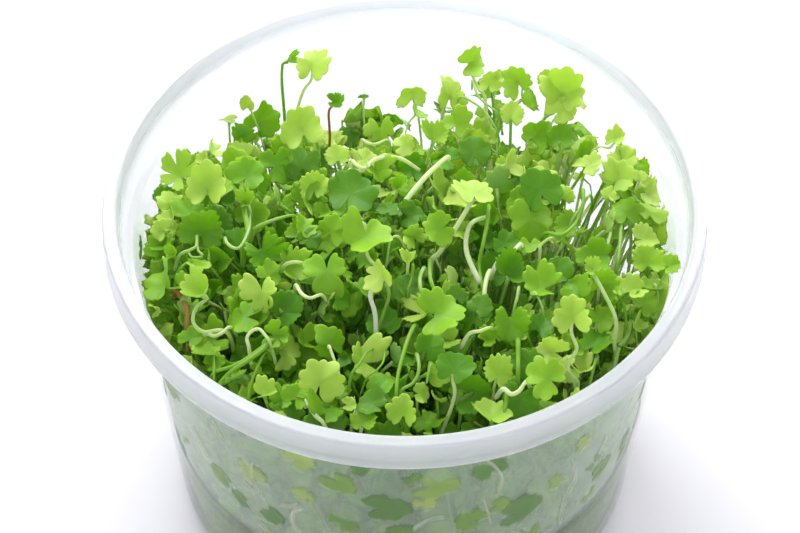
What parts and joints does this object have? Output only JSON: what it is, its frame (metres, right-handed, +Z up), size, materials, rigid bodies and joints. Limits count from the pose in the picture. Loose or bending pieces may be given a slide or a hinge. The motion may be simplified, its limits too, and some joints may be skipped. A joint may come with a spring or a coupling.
{
  "type": "japanese pennywort in a culture cup",
  "caption": "Translucent tapered culture cup with a rolled rim, holding clear gel and a dense mat of small lobed green leaves on pale stalks.",
  "frame": {"origin": "middle of the cup's flat base, on the surface that it stands on", "axes": "+Z up along the cup's axis; +Y away from the viewer; +X to the viewer's right"},
  "size_m": [0.1, 0.1, 0.0713],
  "materials": {
    "cup_plastic": "translucent moulded polypropylene, softly frosted",
    "nutrient_gel": "clear wet gel with a faint green cast",
    "mat_foliage": "living leaves, satin",
    "leaf_lime": "young lime green leaf, satin",
    "leaf_bright": "bright green leaf, satin",
    "leaf_mid": "mid green leaf, satin",
    "leaf_deep": "older deep green leaf, satin",
    "stalk_pale": "whitish green translucent stalk",
    "stalk_green": "light green stalk",
    "stalk_pink": "pinkish stalk"
  },
  "bodies": {
    "root": {"cup": "cup_plastic", "nutrient_gel": "nutrient_gel", "plant_mat": "mat_foliage", "leaf_01": "leaf_lime", "leaf_02": "leaf_bright", "leaf_03": "leaf_mid", "leaf_04": "leaf_bright", "leaf_05": "leaf_lime", "leaf_06": "leaf_lime", "leaf_07": "leaf_mid", "leaf_08": "leaf_lime", "leaf_09": "leaf_lime", "leaf_10": "leaf_deep", "leaf_11": "leaf_bright", "leaf_12": "leaf_bright", "leaf_13": "leaf_lime", "leaf_14": "leaf_lime", "leaf_15": "leaf_bright", "leaf_16": "leaf_deep", "leaf_17": "leaf_mid", "leaf_18": "leaf_lime", "leaf_19": "leaf_bright", "leaf_20": "leaf_lime", "leaf_21": "leaf_bright", "leaf_22": "leaf_lime", "leaf_23": "leaf_bright", "leaf_24": "leaf_lime", "leaf_25": "leaf_lime", "leaf_26": "leaf_bright", "stem_01": "stalk_pale", "stem_02": "stalk_green", "stem_03": "stalk_pink", "stem_04": "stalk_green", "stem_05": "stalk_green", "stem_06": "stalk_green", "stem_07": "stalk_green", "stem_08": "stalk_pale", "stem_09": "stalk_green", "stem_10": "stalk_green", "stem_11": "stalk_pale", "stem_12": "stalk_green", "stem_13": "stalk_pale", "stem_14": "stalk_pale", "stem_15": "stalk_green", "stem_16": "stalk_green", "stem_17": "stalk_pale", "stem_18": "stalk_pale", "stem_19": "stalk_green", "stem_20": "stalk_pale", "stem_21": "stalk_green", "stem_22": "stalk_green", "stem_23": "stalk_pale", "stem_24": "stalk_pale", "stem_25": "stalk_green", "stem_26": "stalk_green", "runner_01": "stalk_pale", "runner_02": "stalk_pale", "runner_03": "stalk_pale"}
  },
  "joints": []
}
